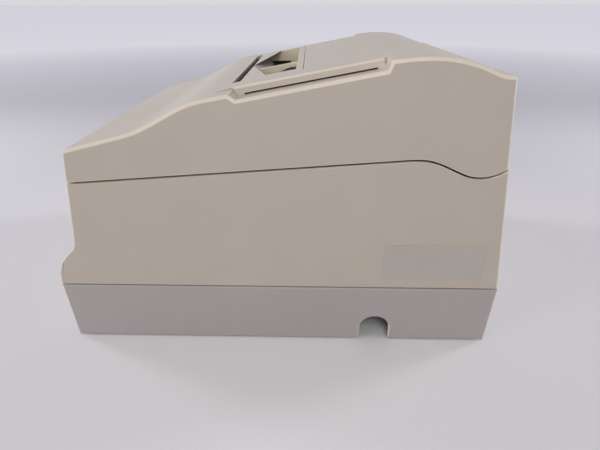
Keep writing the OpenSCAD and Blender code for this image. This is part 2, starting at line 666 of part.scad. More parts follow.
// ---- Chassis ----
module chassis_tray() {
  color(steel) difference() {
    union() {
      box([-104, -75, tray_z], [12, 88.5, mech_z]);
      // Posts that carry the ribbon cassette
      for (y = [[-60, -46], [35, 43]]) box([post_x, y[0], tray_z], [post_x + sheet_t, y[1], cassette_z]);
      // Arm for the idler pulley
      box([post_x, -60, belt_z - 4.2], [belt_x + 4, -44, belt_z - 1.8]);
      box([post_x, -60, tray_z], [belt_x, -58.4, belt_z - 1.8]);
    }
    for (p = tray_bosses()) rod_z(p[0], p[1], screw_r + 0.3, tray_z - 1, mech_z + 1);
    rod_z(belt_x, pulley_y[0], 2, belt_z - 5, belt_z);
    box([-60, -40, tray_z - 1], [-8, 40, mech_z + 1]);
  }
  color(steel) difference() {
    for (p = tray_bosses()) union() {
      rod_z(p[0], p[1], screw_r, tray_z - 9, mech_z);
      rod_z(p[0], p[1], screw_head_r, mech_z, mech_z + 2);
    }
    for (p = tray_bosses()) box([p[0] - 2, p[1] - 0.35, mech_z + 1], [p[0] + 2, p[1] + 0.35, mech_z + 3]);
  }
}
function side_outline() = [[-70, mech_z], [-70, 103.5], [-60, 103.5], [-60, 106], [-36, 115], [-14, 136],
  [6, 137.5], [8, 98], [14, 70], [14, mech_z]];
module side_plate(y0) {
  y1 = y0 + sheet_t;
  color(steel) difference() {
    union() {
      prism_y(side_outline(), y0, y1);
      // Foot flange, towards the middle
      box([-68, y0 < 0 ? y0 : y0 - 8, mech_z], [12, y0 < 0 ? y1 + 8 : y1, mech_z + 1.6]);
    }
    rod_y(main_shaft, main_shaft_r, y0 - 1, y1 + 1);
    rod_y(front_shaft, front_shaft_r, y0 - 1, y1 + 1);
    rod_y(feed, feed_shaft_r + run_gap, y0 - 1, y1 + 1);
    rod_y(pinch, 2 + run_gap, y0 - 1, y1 + 1);
    rod_y(pinion, motor_shaft_r + 2, y0 - 1, y1 + 1);
    rod_y(release_axis, 2.5 + run_gap, y0 - 1, y1 + 1);
    for (p = tie_places()) rod_y(p, 2, y0 - 1, y1 + 1);
    box([-40, y0 - 1, mech_z + 6], [-24, y1 + 1, mech_z + 15]);
  }
}
function tie_places() = [[-3, 104], [-30, 50]];
module near_side_plate() {
  side_plate(plate_near);
}
module far_side_plate() {
  side_plate(plate_far);
}
module tie_bars() {
  color(steel) for (p = tie_places()) {
    rod_y(p, 3, plate_near + sheet_t, plate_far);
    rod_y(p, 2, plate_near - 1, plate_far + sheet_t + 1);
  }
}
module platen() {
  color(dark) prism_y([[platen_x, print_z - 10], [platen_x, print_z + 8], [platen_x + platen_t,
    print_z + 8], [platen_x + platen_t, print_z - 10]],
    plate_near + sheet_t, plate_far);
}
module lower_paper_guide() {
  ri = feed_r + 1.3;
  y0 = plate_near + sheet_t;
  y1 = pinion_body_y - 1;
  lead = [9, 74];
  color(dark) prism_y(concat(arc(feed, ri, -160, -60, 10), [lead, lead + [0.4, -1.2]], reversed(arc(feed,
    ri + 1.2, -160, -60, 10))), y0, y1);
}
pinion_body_y = plate_far - 14;
module upper_chute() {
  y0 = plate_near + sheet_t;
  rear_top_p = [exit_rear_x - 2.5, 137];
  front_top_p = [ramp_end[0] + 0.5, 137];
  color(dark) {
    prism_y([[platen_x + platen_t, print_z + 8.5], [platen_x + platen_t + 1.2, print_z + 8.5],
      rear_top_p + [1.2, 0], rear_top_p], y0, plate_far);
    prism_y([[form_x + 2.8, 117], [form_x + 3.8, 116.5], front_top_p, front_top_p - [1.6, 0]], y0, plate_far);
  }
}
module main_board() {
  color([0.1, 0.35, 0.2]) difference() {
    box([-84, -52, board_z], [8, 72, board_z + board_t]);
    for (p = board_posts()) rod_z(p[0], p[1], 1.2, 0, 30);
  }
}
module board_components() {
  z = board_z + board_t;
  color(dark) {
    box([-50, -10, z], [-22, 18, z + 3]);
    box([-70, 26, z], [-52, 40, z + 2.5]);
    box([-70, -30, z], [-58, -12, z + 2]);
    for (y = [-42, -30]) rod_z(-16, y, 5, z, z + 16);
    rod_z(-34, -38, 6.5, z, z + 18);
    difference() {
      box([-40, 36, z], [-18, 58, z + 14]);
      for (i = [0:4]) box([-38.4 + i * 4, 35, z + 3], [-36 + i * 4, 59, z + 15]);
    }
  }
}
// A socket on the board's rear edge, with its mouth towards the rear
module socket(i) {
  s = sockets()[i];
  z = board_z + board_t;
  difference() {
    box([step_x - wall - 12, s[0] - s[1] / 2, z], [step_x + 2, s[0] + s[1] / 2, z + s[2]]);
    children();
  }
}
module power_inlet() {
  s = sockets()[0];
  z = board_z + board_t + s[2] / 2;
  color(dark) {
    socket(0) translate([step_x - 8, s[0], z]) rotate([0, 90, 0]) disc(5, 20);
    for (a = [90, 210, 330]) translate([step_x - 9, s[0] + 2.2 * cos(a), z + 2.2 * sin(a)]) rotate([0,
      90, 0]) disc(0.5, 4);
  }
}
module interface_socket() {
  s = sockets()[1];
  z = board_z + board_t;
  color(steel) socket(1) box([step_x - 6, s[0] - 20, z + 1.6], [step_x + 3, s[0] + 20, z + s[2] - 1.6]);
}
module drawer_socket() {
  s = sockets()[2];
  z = board_z + board_t;
  color(dark) socket(2) {
    box([step_x - 9, s[0] - 5, z + 2], [step_x + 3, s[0] + 5, z + 8.5]);
    box([step_x - 9, s[0] - 1.6, z + 8], [step_x + 3, s[0] + 1.6, z + 10.3]);
  }
}

// ---- Printing ----
module main_guide_shaft() {
  color(steel) rod_y(main_shaft, main_shaft_r, plate_near - 1.5, plate_far + sheet_t + 1.5);
}
module front_guide_shaft() {
  color(steel) rod_y(front_shaft, front_shaft_r, plate_near - 1.5, plate_far + sheet_t + 1.5);
}
module carriage() {
  y0 = home_y - carriage_w / 2;
  y1 = home_y + carriage_w / 2;
  clamp_x = belt_x + belt_r;
  rear = main_shaft + [main_shaft_r + 4, 0];
  color(dark) difference() {
    union() {
      prism_y([[front_shaft[0] - front_shaft_r - 3, front_shaft[1] - front_shaft_r - 3],
        [front_shaft[0] + front_shaft_r + 3, front_shaft[1] - front_shaft_r - 3],
        [main_shaft[0] - main_shaft_r - 4, main_shaft[1] - main_shaft_r - 4], [rear[0],
          main_shaft[1] - main_shaft_r - 4],
        [rear[0], 80], [front_shaft[0] - front_shaft_r - 3, 80]], y0, y1);
      box([clamp_x - 3.5, home_y - 4.5, belt_z + belt_h + 1.5], [front_shaft[0] - front_shaft_r - 2,
        home_y + 4.5, 80]);
      box([clamp_x - 3.5, home_y - 4.5, belt_z - 2.3], [clamp_x + 3.5, home_y + 4.5, 80]);
    }
    box([clamp_x - belt_t / 2 - 0.35, y0, belt_z - 4], [clamp_x + belt_t / 2 + 0.35, y1,
      belt_z + belt_h + 0.5]);
    rod_y(main_shaft, main_shaft_r + run_gap, y0 - 1, y1 + 1);
    rod_y(front_shaft, front_shaft_r + run_gap, y0 - 1, y1 + 1);
  }
}
module print_head() {
  tip = ribbon_x - ribbon_t / 2 - 0.35;
  color([0.3, 0.3, 0.31]) {
    difference() {
      box([-58, home_y - 12, 80], [-36, home_y + 12, 112]);
      // Cooling fins
      for (i = [0:4]) box([-59, home_y - 9.6 + i * 4, 84], [-50, home_y - 7.2 + i * 4, 113]);
    }
    prism_y([[-36.5, print_z - 9], [-31, print_z - 5.5], [tip, print_z - 5], [tip, print_z + 5], [-31,
      print_z + 5.5], [-36.5, print_z + 9]], home_y - 5, home_y + 5);
  }
}
module timing_belt() {
  module loop(r) {
    union() {
      translate([-r, pulley_y[0]]) square([2 * r, pulley_y[1] - pulley_y[0]]);
      for (y = pulley_y) translate([0, y]) circle(r);
    }
  }
  color([0.1, 0.1, 0.1]) translate([belt_x, 0, belt_z]) linear_extrude(belt_h) difference() {
    loop(belt_r + belt_t / 2);
    loop(belt_r - belt_t / 2);
  }
}
module pulley(y, bore) {
  core_r = belt_r - belt_t / 2 - 0.3;
  difference() {
    union() {
      rod_z(belt_x, y, core_r, belt_z - 1.5, belt_z + belt_h + 1.5);
      for (z = [belt_z - 1.5, belt_z + belt_h + 0.3]) rod_z(belt_x, y, pulley_flange_r, z, z + 1.2);
    }
    rod_z(belt_x, y, bore, 0, far);
    for (i = [0:11]) rotate_about(belt_x, y, i * 30) rod_z(belt_x + core_r + 0.3, y, 0.6, belt_z - 0.3,
      belt_z + belt_h + 0.3);
  }
}
module rotate_about(x, y, a) {
  translate([x, y, 0]) rotate([0, 0, a]) translate([-x, -y, 0]) children();
}
module drive_pulley() {
  color(steel) pulley(pulley_y[1], motor_shaft_r);
  color(steel) rod_z(belt_x, pulley_y[1], motor_shaft_r, motor_top - 4, belt_z + belt_h + 3);
}
module idler_pulley() {
  color(steel) pulley(pulley_y[0], 2 + run_gap);
}
module idler_pin() {
  color(steel) {
    rod_z(belt_x, pulley_y[0], 2, belt_z - 4.2, belt_z + belt_h + 2);
    rod_z(belt_x, pulley_y[0], 3.2, belt_z + belt_h + 2, belt_z + belt_h + 3);
  }
}
motor_top = 65;
module carriage_motor() {
  color([0.25, 0.25, 0.26]) difference() {
    union() {
      rod_z(belt_x, pulley_y[1], 17, mech_z, motor_top);
      box([belt_x - 12, pulley_y[1] - 17.2, mech_z], [belt_x + 12, pulley_y[1] + 17.2, mech_z + 3]);
    }
    rod_z(belt_x, pulley_y[1], motor_shaft_r + run_gap, motor_top - 5, motor_top + 1);
  }
}
module ribbon_cassette() {
  x0 = -103;
  x1 = -66;
  z1 = cassette_z + 16;
  arms = [[-58, -54], [70, 74]];
  color(dark) difference() {
    union() {
      box([x0, arms[0][0], cassette_z], [x1, arms[1][1], z1]);
      for (y = arms) prism_y([[x1 - 1, cassette_z], [x1 - 1, z1], [x1 + 8, z1], [ribbon_x + 2, z1 - 1],
        [ribbon_x + 2, cassette_z]], y[0], y[1]);
      // Ears that rest on the side plates
      box([-69, plate_near - 2, 103.5], [-62, arms[0][0] + 1, 106]);
      box([-69, arms[1][1] - 1, 103.5], [-62, plate_far + sheet_t + 2, 106]);
    }
    rod_z(knob[0], knob[1], 3 + run_gap, z1 - 8, z1 + 1);
    // Slit of each arm that lets the ribbon through
    for (y = arms) box([ribbon_x - ribbon_t / 2, y[0] - 1, cassette_z + 1], [ribbon_x + ribbon_t / 2,
      y[1] + 1, cassette_z + 15]);
    // Shallow panels in the top
    box([x0 + 4, -50, z1 - 0.8], [x1 - 4, 20, z1 + 1]);
  }
}
knob = [-85, 48];
module ink_ribbon() {
  color([0.06, 0.06, 0.07]) box([ribbon_x - ribbon_t / 2, -56, cassette_z + 1], [ribbon_x + ribbon_t / 2,
    72, cassette_z + 14]);
}
module ribbon_knob() {
  z0 = cassette_z + 16.3;
  color([0.55, 0.55, 0.56]) difference() {
    union() {
      rod_z(knob[0], knob[1], 3, z0 - 6, z0);
      rod_z(knob[0], knob[1], 9, z0, z0 + 5);
    }
    for (i = [0:11]) rotate_about(knob[0], knob[1], i * 30) rod_z(knob[0] + 9.6, knob[1], 1.5, z0 - 1,
      z0 + 6);
    box([knob[0] - 6, knob[1] - 0.8, z0 + 3.5], [knob[0] + 6, knob[1] + 0.8, z0 + 6]);
  }
}

// ---- Paper feed ----
module feed_roller() {
  color(dark) difference() {
    for (y = [hopper_y[0] + 4, paper_y - 10, hopper_y[1] - 24]) rod_y(feed, feed_r, y, y + 20);
    rod_y(feed, feed_shaft_r, -far, far);
  }
}
module feed_shaft() {
  color(steel) rod_y(feed, feed_shaft_r, plate_near - 12, plate_far + sheet_t + 6.5);
}
module feed_gear() {
  y0 = plate_far + sheet_t + 0.6;
  color([0.85, 0.84, 0.8]) gear_y(feed, gear_teeth, pinion_a, y0, y0 + 4, feed_shaft_r);
}
module feed_knob() {
  y1 = plate_near - 2;
  color(dark) difference() {
    rod_y(feed, 9.5, y1 - 9, y1);
    rod_y(feed, feed_shaft_r, y1 - 20, y1 + 1);
    for (i = [0:11]) rod_y(feed + 10.2 * [cos(i * 30), sin(i * 30)], 1.5, y1 - 10, y1 + 1);
  }
}
module pinch_rollers() {
  color(dark) difference() {
    for (y = [hopper_y[0] + 6, paper_y - 8, hopper_y[1] - 22]) rod_y(pinch, pinch_r, y, y + 16);
    rod_y(pinch, 2, -far, far);
  }
}
module pinch_shaft() {
  color(steel) rod_y(pinch, 2, plate_near - 0.6, plate_far + sheet_t + 0.6);
}
module feed_motor() {
  color([0.25, 0.25, 0.26]) difference() {
    union() {
      rod_y(pinion, 12.5, pinion_body_y, plate_far);
      rod_y(pinion, motor_shaft_r + 1.9, plate_far, plate_far + sheet_t);
    }
    rod_y(pinion, motor_shaft_r + run_gap, plate_far - 6, plate_far + sheet_t + 1);
  }
}
module motor_pinion() {
  y0 = plate_far + sheet_t + 0.6;
  color(steel) gear_y(pinion, pinion_teeth, pinion_a + 180 + 180 / pinion_teeth, y0, y0 + 4, motor_shaft_r);
  color(steel) rod_y(pinion, motor_shaft_r, plate_far - 5.5, y0 + 5);
}
module roll_hopper() {
  ro = hopper_ri + hopper_t;
  foot_z = deck_z + floor_t + 2;
  color([0.3, 0.3, 0.31]) difference() {
    union() {
      intersection() {
        rod_y(hopper, ro, hopper_y[0] - hopper_t, hopper_y[1] + hopper_t);
        box([hopper[0] - ro - 1, -far, 0], [hopper[0] + ro + 1, far, hopper[1] + 4]);
      }
      for (x = [hopper[0] - 25, hopper[0] + 25]) box([x - 1.5, hopper_y[0] + 8, foot_z], [x + 1.5,
        hopper_y[1] - 8, hopper[1] - hopper_ri + 9]);
    }
    rod_y(hopper, hopper_ri, hopper_y[0], hopper_y[1]);
    // Open front, where the paper leaves, and the sides' hand cut-outs
    box([hopper[0] - ro - 2, hopper_y[0], 78], [hopper[0] - 30, hopper_y[1], far]);
    rod_y(hopper + [0, 14], 24, hopper_y[0] - 10, hopper_y[1] + 10);
    rod_y(lever_axis, 1.5 + run_gap, hopper_y[0] - 10, hopper_y[0]);
  }
}
lever_axis = [hopper[0] + 30, hopper[1] - 22];
module near_end_lever() {
  y1 = hopper_y[0] - hopper_t - 0.3;
  tip = lever_axis + 24 * [cos(140), sin(140)];
  color([0.75, 0.75, 0.72]) {
    prism_y([lever_axis + [-2.5, -3], lever_axis + [2.5, 3], tip + [2, 2.6], tip + [-2, -2.6]], y1 - 2, y1);
    rod_y(lever_axis, 4, y1 - 2, y1);
    rod_y(lever_axis, 1.5, y1 - 3, y1 + 2.1);
    rod_y(tip, 3, y1 - 2, y1);
  }
}
release_axis = [-34, 94];
module release_lever() {
  y1 = plate_near - 0.4;
  tip = release_axis + [-3, 36];
  color([0.2, 0.5, 0.35]) {
    prism_y([release_axis + [-4, 0], release_axis + [4, 0], tip + [3, 0], tip + [-3, 0]], y1 - 2.4, y1);
    rod_y(release_axis, 6, y1 - 2.4, y1);
    rod_y(tip, 5, y1 - 4.4, y1);
    rod_y(release_axis, 2.5, y1, plate_near + 1.8);
  }
}

bottom_case();
socket_panel();
lower_case();
top_cover();
exit_bezel();
tear_bar();
control_panel();
status_lights();
panel_board();
feed_button();
power_switch();
power_rocker();
rating_plate();
rubber_feet();
case_screws();
cover_hinge_pins();
chassis_tray();
near_side_plate();
far_side_plate();
tie_bars();
platen();
lower_paper_guide();
upper_chute();
main_board();
board_components();
power_inlet();
interface_socket();
drawer_socket();
main_guide_shaft();
front_guide_shaft();
carriage();
print_head();
timing_belt();
drive_pulley();
idler_pulley();
idler_pin();
carriage_motor();
ribbon_cassette();
ink_ribbon();
ribbon_knob();
feed_roller();
feed_shaft();
feed_gear();
feed_knob();
pinch_rollers();
pinch_shaft();
feed_motor();
motor_pinion();
roll_hopper();
near_end_lever();
release_lever();
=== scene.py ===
"""Desktop receipt printer: moulded case, front panel and printing mechanism."""
import json
import math

import bpy
from mathutils import Matrix, Vector


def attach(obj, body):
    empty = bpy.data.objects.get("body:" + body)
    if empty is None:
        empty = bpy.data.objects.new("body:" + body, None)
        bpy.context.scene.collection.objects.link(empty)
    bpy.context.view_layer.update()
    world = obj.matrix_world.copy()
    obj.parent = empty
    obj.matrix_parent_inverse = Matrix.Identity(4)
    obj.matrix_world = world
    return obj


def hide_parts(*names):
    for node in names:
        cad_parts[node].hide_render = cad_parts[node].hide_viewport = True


MM = 0.001
CAMERA_PLACE = (0.0173, -0.2796, 0.1848)
CAMERA_PITCH, CAMERA_YAW, CAMERA_ROLL = 29.18, -1.3, -0.1
LAMP_TARGET = (0, 0, 0.09)
FLOOR_SIZE = 60
GLOW_START, GLOW_END, GLOW = 0.35, 2.0, 0.44
AMBIENT = (0.31, 0.29, 0.365, 1)
BACKGROUND = (0.68, 0.68, 0.72, 1)
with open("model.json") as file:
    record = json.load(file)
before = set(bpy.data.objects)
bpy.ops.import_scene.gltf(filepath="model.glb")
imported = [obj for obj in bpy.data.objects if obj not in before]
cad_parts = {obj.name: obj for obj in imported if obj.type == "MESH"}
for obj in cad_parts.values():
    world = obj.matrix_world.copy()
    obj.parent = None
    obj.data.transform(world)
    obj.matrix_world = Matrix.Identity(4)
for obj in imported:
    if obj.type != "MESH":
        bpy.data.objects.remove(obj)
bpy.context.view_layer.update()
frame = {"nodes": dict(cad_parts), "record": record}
nodes = frame["nodes"]


# ---- Camera, floor and light ----
def add_camera():
    pitch, yaw, roll = (math.radians(angle) for angle in (CAMERA_PITCH, CAMERA_YAW, CAMERA_ROLL))
    forward = Vector((math.sin(yaw) * math.cos(pitch), math.cos(yaw) * math.cos(pitch), -math.sin(pitch)))
    level = Vector((math.cos(yaw), -math.sin(yaw), 0))
    upward = level.cross(forward)
    right = math.cos(roll) * level + math.sin(roll) * upward
    up = -math.sin(roll) * level + math.cos(roll) * upward
    data = bpy.data.cameras.new("camera")
    data.lens, data.sensor_width = 24, 36
    data.clip_start = 0.01
    camera = bpy.data.objects.new("camera", data)
    bpy.context.scene.collection.objects.link(camera)
    turn = Matrix((right, up, -forward)).transposed().to_4x4()
    camera.matrix_world = Matrix.Translation(CAMERA_PLACE) @ turn
    bpy.context.scene.camera = camera


def add_lamp(name, place, size, spread, power, colour):
    data = bpy.data.lights.new(name, "AREA")
    data.shape = "DISK"
    data.size, data.energy, data.color = size, power, colour
    data.spread = math.radians(spread)
    lamp = bpy.data.objects.new(name, data)
    bpy.context.scene.collection.objects.link(lamp)
    lamp.location = place
    lamp.rotation_euler = (Vector(LAMP_TARGET) - Vector(place)).to_track_quat("-Z", "Y").to_euler()


def add_floor():
    """A pale floor. Away from the printer, where the lamps fade, it stays as pale to the camera."""
    bpy.ops.object.select_all(action="DESELECT")
    bpy.ops.mesh.primitive_plane_add(size=FLOOR_SIZE, location=(0, 0, 0))
    floor = bpy.context.object
    floor.name = "floor"
    paint = bpy.data.materials.new("pale_floor")
    paint.use_nodes = True
    shader = paint.node_tree.nodes["Principled BSDF"]
    shader.inputs["Base Color"].default_value = (0.72, 0.73, 0.75, 1)
    shader.inputs["Roughness"].default_value = 1.0
    shader.inputs["Specular IOR Level"].default_value = 0.0
    tree = Tree(paint.node_tree)
    place = tree.add("ShaderNodeTexCoord").outputs["Object"]
    distance = tree.add("ShaderNodeVectorMath", {0: place}, operation="LENGTH").outputs["Value"]
    glow = tree.ramp(distance, GLOW_START, GLOW_END, 0.0, GLOW)
    shader.inputs["Emission Color"].default_value = (0.97, 0.98, 1.0, 1)
    seen_glow = tree.math("MULTIPLY", glow, tree.seen_ray())
    paint.node_tree.links.new(seen_glow, shader.inputs["Emission Strength"])
    floor.data.materials.append(paint)


def add_light():
    world = bpy.data.worlds.new("room")
    world.use_nodes = True
    tree = Tree(world.node_tree)
    sky = world.node_tree.nodes["Background"]
    world.node_tree.links.new(tree.mix(tree.seen_ray(), AMBIENT, BACKGROUND), sky.inputs["Color"])
    sky.inputs["Strength"].default_value = 1.0
    bpy.context.scene.world = world
    # Each lamp: its place and size in metres, spread in degrees, power in watts and colour
    for name, place, size, spread, power, colour in (
            ("key", (0.1, -1.15, 1.15), 0.7, 180, 7.0, (1.0, 0.97, 0.86)),
            ("top", (0.1, -0.25, 1.5), 0.4, 180, 2.4, (1.0, 0.9, 0.72)),
            ("front", (-1.5, -0.9, 0.6), 0.8, 180, 5.7, (0.98, 1.0, 0.99)),
            ("side", (0.0, -1.7, 0.45), 1.0, 180, 1.2, (0.9, 0.98, 1.0)),
            ("front_edge", (-1.3, 0.45, 0.3), 0.35, 50, 0.9, (1.0, 1.0, 1.0)),
            ("rear_edge", (1.3, 0.45, 0.3), 0.35, 50, 0.9, (1.0, 1.0, 1.0))):
        add_lamp(name, place, size, spread, power, colour)
    bpy.context.scene.view_settings.view_transform = "Standard"


# ---- Shared surface effects ----
class Tree:
    """Adds nodes to a node tree and joins them."""

    def __init__(self, tree):
        self.tree = tree

    def add(self, kind, links=(), **settings):
        made = self.tree.nodes.new(kind)
        for key, value in settings.items():
            setattr(made, key, value)
        for socket, source in dict(links).items():
            if isinstance(source, bpy.types.NodeSocket):
                self.tree.links.new(source, made.inputs[socket])
            else:
                made.inputs[socket].default_value = source
        return made

    def math(self, operation, a, b=0.0, clamp=False):
        made = self.add("ShaderNodeMath", {0: a, 1: b}, operation=operation, use_clamp=clamp)
        return made.outputs[0]

    def mix(self, factor, a, b, blend="MIX"):
        made = self.add("ShaderNodeMix", data_type="RGBA", blend_type=blend)
        for socket, source in ((0, factor), (6, a), (7, b)):
            if isinstance(source, bpy.types.NodeSocket):
                self.tree.links.new(source, made.inputs[socket])
            else:
                made.inputs[socket].default_value = source
        return made.outputs[2]

    def noise(self, vector, scale, detail=2.0, roughness=0.5):
        settings = {"Vector": vector, "Scale": scale, "Detail": detail, "Roughness": roughness}
        return self.add("ShaderNodeTexNoise", settings).outputs[0]

    def ramp(self, value, low, high, out_low=0.0, out_high=1.0):
        limits = {0: value, 1: low, 2: high, 3: out_low, 4: out_high}
        return self.add("ShaderNodeMapRange", limits, clamp=True).outputs[0]

    def seen_ray(self):
        """1 on the rays that show the background: from the camera, mirrored, or through glass."""
        ray = self.add("ShaderNodeLightPath").outputs
        mirrored = self.math("MAXIMUM", ray["Is Glossy Ray"], ray["Is Transmission Ray"])
        return self.math("MAXIMUM", ray["Is Camera Ray"], mirrored)


def new_group(name, inputs, outputs):
    group = bpy.data.node_groups.new(name, "ShaderNodeTree")
    for label, kind, value in inputs:
        socket = group.interface.new_socket(name=label, in_out="INPUT", socket_type="NodeSocket" + kind)
        if value is not None:
            socket.default_value = value
    for label, kind in outputs:
        group.interface.new_socket(name=label, in_out="OUTPUT", socket_type="NodeSocket" + kind)
    tree = Tree(group)
    return tree, tree.add("NodeGroupInput").outputs, tree.add("NodeGroupOutput").inputs


def make_groups():
    # Spark-eroded mould texture: a fine even grain
    tree, given, out = new_group(
        "mould_grain", [("Vector", "Vector", None), ("Scale", "Float", 1800.0)], [("Height", "Float")])
    fine = tree.noise(given["Vector"], given["Scale"], 3.0, 0.6)
    broad = tree.noise(given["Vector"], tree.math("MULTIPLY", given["Scale"], 0.22), 2.0)
    tree.tree.links.new(tree.math("ADD", fine, tree.math("MULTIPLY", broad, 0.5)), out["Height"])
    # Uneven colour of an aged moulding
    tree, given, out = new_group(
        "aged_colour",
        [("Vector", "Vector", None), ("Color", "Color", None), ("Aged", "Color", None),
         ("Scale", "Float", 14.0), ("Amount", "Float", 0.5)],
        [("Color", "Color"), ("Mask", "Float")])
    cloud = tree.ramp(tree.noise(given["Vector"], given["Scale"], 4.0, 0.55), 0.35, 0.7)
    amount = tree.math("MULTIPLY", cloud, given["Amount"])
    tree.tree.links.new(tree.mix(amount, given["Color"], given["Aged"]), out["Color"])
    tree.tree.links.new(cloud, out["Mask"])
    # Small dark specks and faint smudges
    tree, given, out = new_group(
        "specks", [("Vector", "Vector", None), ("Scale", "Float", 260.0), ("Cover", "Float", 0.5)],
        [("Mask", "Float")])
    cells = tree.add("ShaderNodeTexVoronoi", {"Vector": given["Vector"], "Scale": given["Scale"]})
    dots = tree.ramp(cells.outputs["Distance"], 0.05, 0.14, 1.0, 0.0)
    patches = tree.noise(given["Vector"], tree.math("MULTIPLY", given["Scale"], 0.12), 2.0)
    where = tree.ramp(patches, 0.55, 0.68)
    tree.tree.links.new(
        tree.math("MULTIPLY", tree.math("MULTIPLY", dots, where), given["Cover"]), out["Mask"])
    # Rolled or brushed lines along one axis
    tree, given, out = new_group(
        "rolled_lines",
        [("Vector", "Vector", None), ("Stretch", "Vector", (1.0, 0.02, 1.0)), ("Scale", "Float", 1500.0)],
        [("Height", "Float")])
    stretch = {0: given["Vector"], 1: given["Stretch"]}
    drawn = tree.add("ShaderNodeVectorMath", stretch, operation="MULTIPLY")
    tree.tree.links.new(tree.noise(drawn.outputs[0], given["Scale"], 3.0, 0.6), out["Height"])


def start_material(name, roughness, metallic=0.0):
    material = bpy.data.materials.new(name)
    material.use_nodes = True
    tree = Tree(material.node_tree)
    shader = material.node_tree.nodes["Principled BSDF"]
    shader.inputs["Roughness"].default_value = roughness
    shader.inputs["Metallic"].default_value = metallic
    place = tree.add("ShaderNodeTexCoord").outputs["Object"]
    return material, tree, shader, place


def use_group(tree, name, **values):
    made = tree.add("ShaderNodeGroup", node_tree=bpy.data.node_groups[name])
    for key, value in values.items():
        if isinstance(value, bpy.types.NodeSocket):
            tree.tree.links.new(value, made.inputs[key])
        else:
            made.inputs[key].default_value = value
    return made.outputs


def bump(tree, shader, height, strength, distance):
    made = tree.add("ShaderNodeBump", {"Height": height, "Strength": strength, "Distance": distance})
    tree.tree.links.new(made.outputs["Normal"], shader.inputs["Normal"])


def rgb(red, green, blue):
    """An sRGB colour of 0 to 255 as linear values."""
    def linear(value):
        value /= 255
        return value / 12.92 if value <= 0.04045 else ((value + 0.055) / 1.055) ** 2.4
    return (linear(red), linear(green), linear(blue), 1.0)


def case_material(name, colour, aged, dirt):
    material, tree, shader, place = start_material(name, 0.4)
    tint = use_group(tree, "aged_colour", Vector=place, Color=colour, Aged=aged, Scale=9.0, Amount=0.35)
    fine_tint = use_group(
        tree, "aged_colour", Vector=place, Color=tint["Color"], Aged=dirt, Scale=60.0, Amount=0.04)
    dots = use_group(tree, "specks", Vector=place, Scale=230.0, Cover=0.22)
    colour_out = tree.mix(dots["Mask"], fine_tint["Color"], dirt)
    tree.tree.links.new(colour_out, shader.inputs["Base Color"])
    tree.tree.links.new(tree.ramp(tint["Mask"], 0, 1, 0.36, 0.44), shader.inputs["Roughness"])
    bump(tree, shader, use_group(tree, "mould_grain", Vector=place, Scale=1700.0)["Height"], 0.22, 0.00006)
    return material


def plastic_material(name, colour, roughness, grain=1600.0, depth=0.00005, uneven=0.25):
    material, tree, shader, place = start_material(name, roughness)
    worn = tuple(min(1.0, value * 1.5 + 0.012) for value in colour[:3]) + (1.0,)
    tint = use_group(tree, "aged_colour", Vector=place, Color=colour, Aged=worn, Scale=45.0, Amount=uneven)
    tree.tree.links.new(tint["Color"], shader.inputs["Base Color"])
    uneven_gloss = tree.ramp(tint["Mask"], 0, 1, roughness - 0.05, roughness + 0.08)
    tree.tree.links.new(uneven_gloss, shader.inputs["Roughness"])
    bump(tree, shader, use_group(tree, "mould_grain", Vector=place, Scale=grain)["Height"], 0.25, depth)
    return material


def metal_material(name, colour, roughness, stretch, scale=1400.0, spangle=0.0):
    material, tree, shader, place = start_material(name, roughness, metallic=1.0)
    dull = tuple(value * 0.72 for value in colour[:3]) + (1.0,)
    tint = use_group(tree, "aged_colour", Vector=place, Color=colour, Aged=dull, Scale=35.0, Amount=0.5)
    base = tint["Color"]
    if spangle:
        cells = tree.add("ShaderNodeTexVoronoi", {"Vector": place, "Scale": 130.0})
        shade = tree.ramp(cells.outputs["Color"], 0.2, 0.8, 0.0, spangle)
        base = tree.mix(shade, base, dull)
    tree.tree.links.new(base, shader.inputs["Base Color"])
    lines = use_group(tree, "rolled_lines", Vector=place, Stretch=stretch, Scale=scale)
    drawn_gloss = tree.ramp(lines["Height"], 0.3, 0.7, roughness - 0.08, roughness + 0.1)
    tree.tree.links.new(drawn_gloss, shader.inputs["Roughness"])
    bump(tree, shader, lines["Height"], 0.15, 0.00003)
    return material


def board_material():
    material, tree, shader, place = start_material("circuit_board", 0.35)
    tracks = tree.add("ShaderNodeTexBrick", {"Vector": place, "Scale": 60.0, "Mortar Size": 0.06})
    tracks.offset = 0.37
    lines = tree.ramp(tracks.outputs["Fac"], 0.3, 0.7)
    colour = tree.mix(lines, rgb(20, 70, 42), rgb(52, 112, 66))
    pads = tree.add("ShaderNodeTexVoronoi", {"Vector": place, "Scale": 190.0})
    tin = tree.ramp(pads.outputs["Distance"], 0.16, 0.2, 1.0, 0.0)
    tree.tree.links.new(tree.mix(tin, colour, rgb(168, 166, 158)), shader.inputs["Base Color"])
    tree.tree.links.new(tree.math("MULTIPLY", tin, 0.8), shader.inputs["Metallic"])
    bump(tree, shader, tree.math("ADD", lines, tin), 0.3, 0.00005)
    return material


def fabric_material():
    material, tree, shader, place = start_material("inked_ribbon", 0.85)
    weave, warp = (
        tree.add("ShaderNodeTexWave", {"Vector": place, "Scale": 900.0}, bands_direction=direction)
        for direction in "ZY")
    cloth = tree.math("MULTIPLY", weave.outputs["Fac"], warp.outputs["Fac"])
    tint = use_group(
        tree, "aged_colour", Vector=place, Color=rgb(26, 24, 34), Aged=rgb(48, 42, 58), Scale=60.0,
        Amount=0.7)
    tree.tree.links.new(tint["Color"], shader.inputs["Base Color"])
    bump(tree, shader, cloth, 0.5, 0.0001)
    return material


